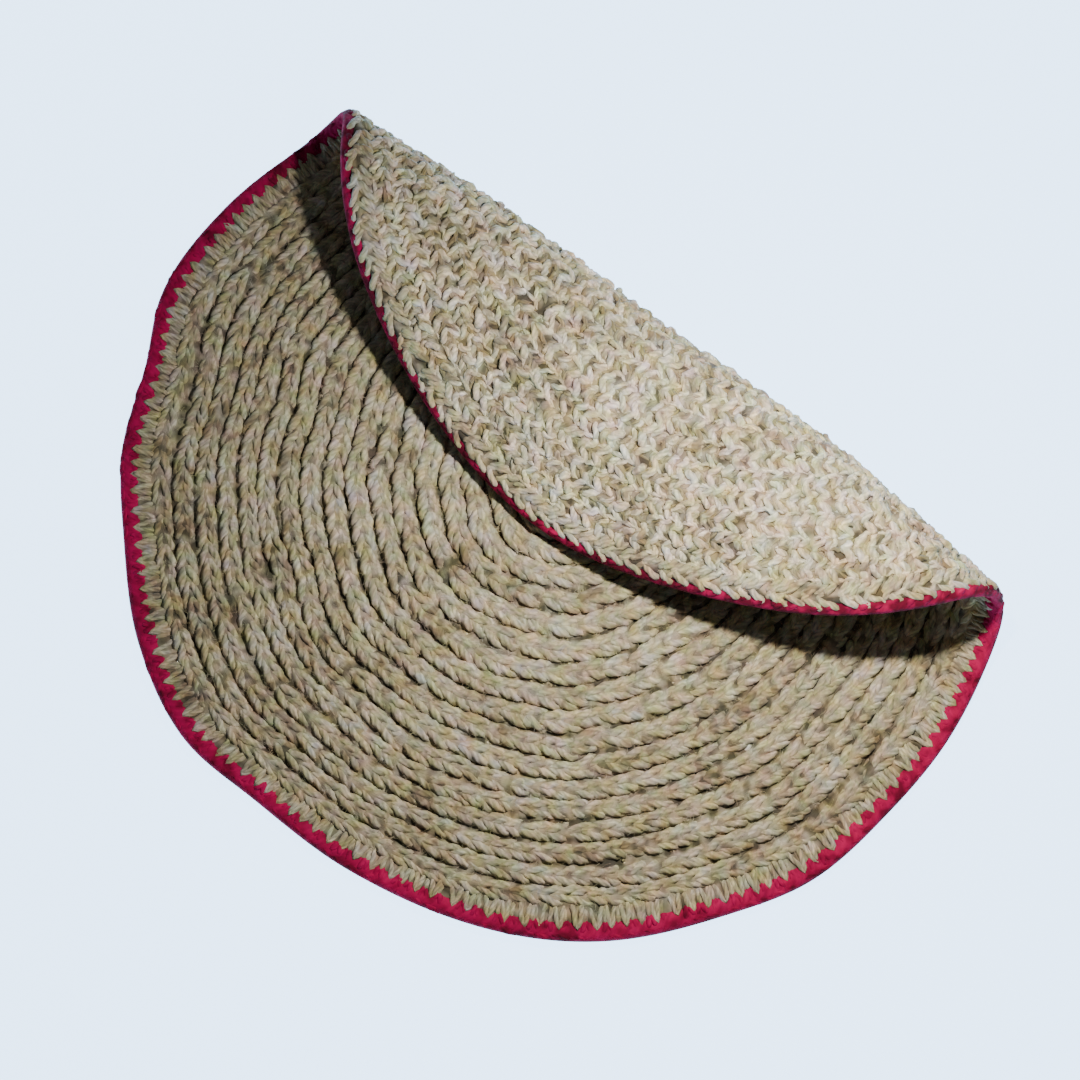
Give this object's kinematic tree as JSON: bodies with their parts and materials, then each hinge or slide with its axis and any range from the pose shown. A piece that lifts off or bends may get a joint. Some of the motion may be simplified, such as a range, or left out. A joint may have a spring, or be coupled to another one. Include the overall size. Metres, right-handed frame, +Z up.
{
  "type": "round crocheted jute doormat",
  "caption": "Round doormat of crocheted jute with a red crocheted edge, lying flat with one side folded over its front; wipes shoes at a door.",
  "frame": {"origin": "on the floor, under the middle of the folded mat's box", "axes": "+X along the fold, +Y from the mat's flat side towards the fold, +Z up from the floor"},
  "size_m": [0.6057, 0.4139, 0.0843],
  "materials": {
    "jute_yarn": "rough natural jute yarn, hairy and marled tan, worked in raised rounds",
    "red_yarn": "matt crimson dyed yarn, one smooth crocheted round"
  },
  "bodies": {
    "root": {"mat_body": "jute_yarn", "edging": "red_yarn"}
  },
  "joints": []
}
